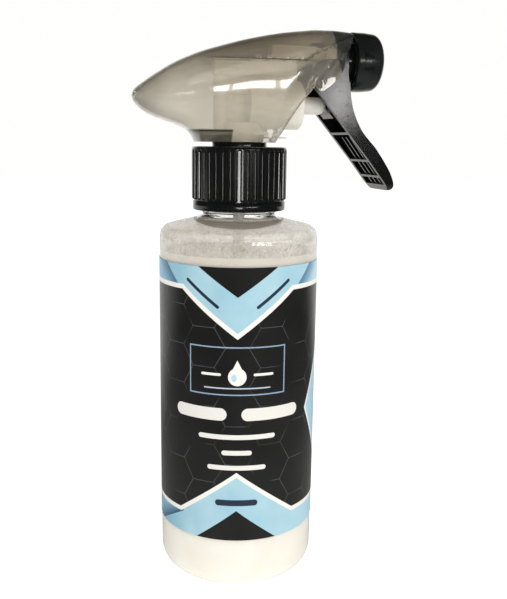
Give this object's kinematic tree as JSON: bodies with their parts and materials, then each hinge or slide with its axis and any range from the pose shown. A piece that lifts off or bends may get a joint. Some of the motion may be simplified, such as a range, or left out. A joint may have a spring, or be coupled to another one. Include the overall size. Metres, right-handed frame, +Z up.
{
  "type": "trigger spray bottle",
  "caption": "Clear round bottle of lubricant with a wrap label, ribbed screw closure, black trigger sprayer and smoky translucent shroud.",
  "frame": {"origin": "centre of the bottle's base, on the surface it stands on", "axes": "+Z up along the bottle, +X the way the nozzle sprays; XZ is the sprayer's plane of symmetry"},
  "size_m": [0.0917, 0.0564, 0.1938],
  "materials": {
    "clear_pet": "clear, glossy",
    "liquid": "clear, faintly cloudy liquid",
    "label": "satin printed film",
    "black_pp": "semi-gloss moulded",
    "foam_liner": "matte foam",
    "natural_pp": "milky, satin",
    "steel_ball": "polished",
    "tube_pe": "milky translucent",
    "white_pp": "satin",
    "seal_pe": "satin",
    "spring_steel": "bright wire",
    "soft_rubber": "soft",
    "smoky_pp": "translucent smoky, glossy"
  },
  "bodies": {
    "base": {"bottle": "clear_pet", "lubricant_fill": "liquid", "wrap_label": "label"},
    "carrier": {"neck_gasket": "foam_liner"},
    "closure": {"screw_closure": "black_pp"},
    "head": {"pump_body": "natural_pp", "valve_housing": "natural_pp", "dip_tube": "tube_pe", "outlet_plug": "black_pp", "nozzle_adapter": "black_pp", "swirl_insert": "white_pp", "nozzle_seal": "soft_rubber", "shroud": "smoky_pp"},
    "trigger": {"trigger": "black_pp"},
    "plunger": {"piston_rod": "white_pp", "piston_seal": "seal_pe", "return_spring": "spring_steel"},
    "nozzle": {"nozzle_cap": "black_pp"},
    "ball": {"inlet_ball": "steel_ball"},
    "disc": {"discharge_valve": "soft_rubber"}
  },
  "joints": [
    {"name": "head_lift", "type": "slide", "parent": "base", "child": "carrier", "axis": [0, 0, 1], "range_m": [0, 0.00635]},
    {"name": "closure_turn", "type": "hinge", "parent": "carrier", "child": "closure", "pos_m": [0, 0, 0.14], "axis": [0, 0, 1], "range_deg": [0, 540]},
    {"name": "head_swivel", "type": "hinge", "parent": "carrier", "child": "head", "pos_m": [0, 0, 0.155], "axis": [0, 0, 1], "continuous": true},
    {"name": "trigger_squeeze", "type": "hinge", "parent": "head", "child": "trigger", "pos_m": [0.0315, 0, 0.1805], "axis": [0, 1, 0], "range_deg": [0, 25]},
    {"name": "piston_stroke", "type": "slide", "parent": "head", "child": "plunger", "axis": [-1, 0, 0], "range_m": [0, 0.00604], "deforming": ["return_spring"]},
    {"name": "nozzle_turn", "type": "hinge", "parent": "head", "child": "nozzle", "pos_m": [0.045, 0, 0.1835], "axis": [1, 0, 0], "continuous": true},
    {"name": "inlet_ball_lift", "type": "slide", "parent": "head", "child": "ball", "axis": [0, 0, 1], "range_m": [0, 0.001]},
    {"name": "discharge_lift", "type": "slide", "parent": "head", "child": "disc", "axis": [1, 0, 0], "range_m": [0, 0.0005]}
  ],
  "couplings": [
    {"joint": "closure_turn", "follows": "head_lift", "rad_per_m": 1484.3},
    {"joint": "piston_stroke", "follows": "trigger_squeeze", "m_per_rad": 0.0138}
  ]
}
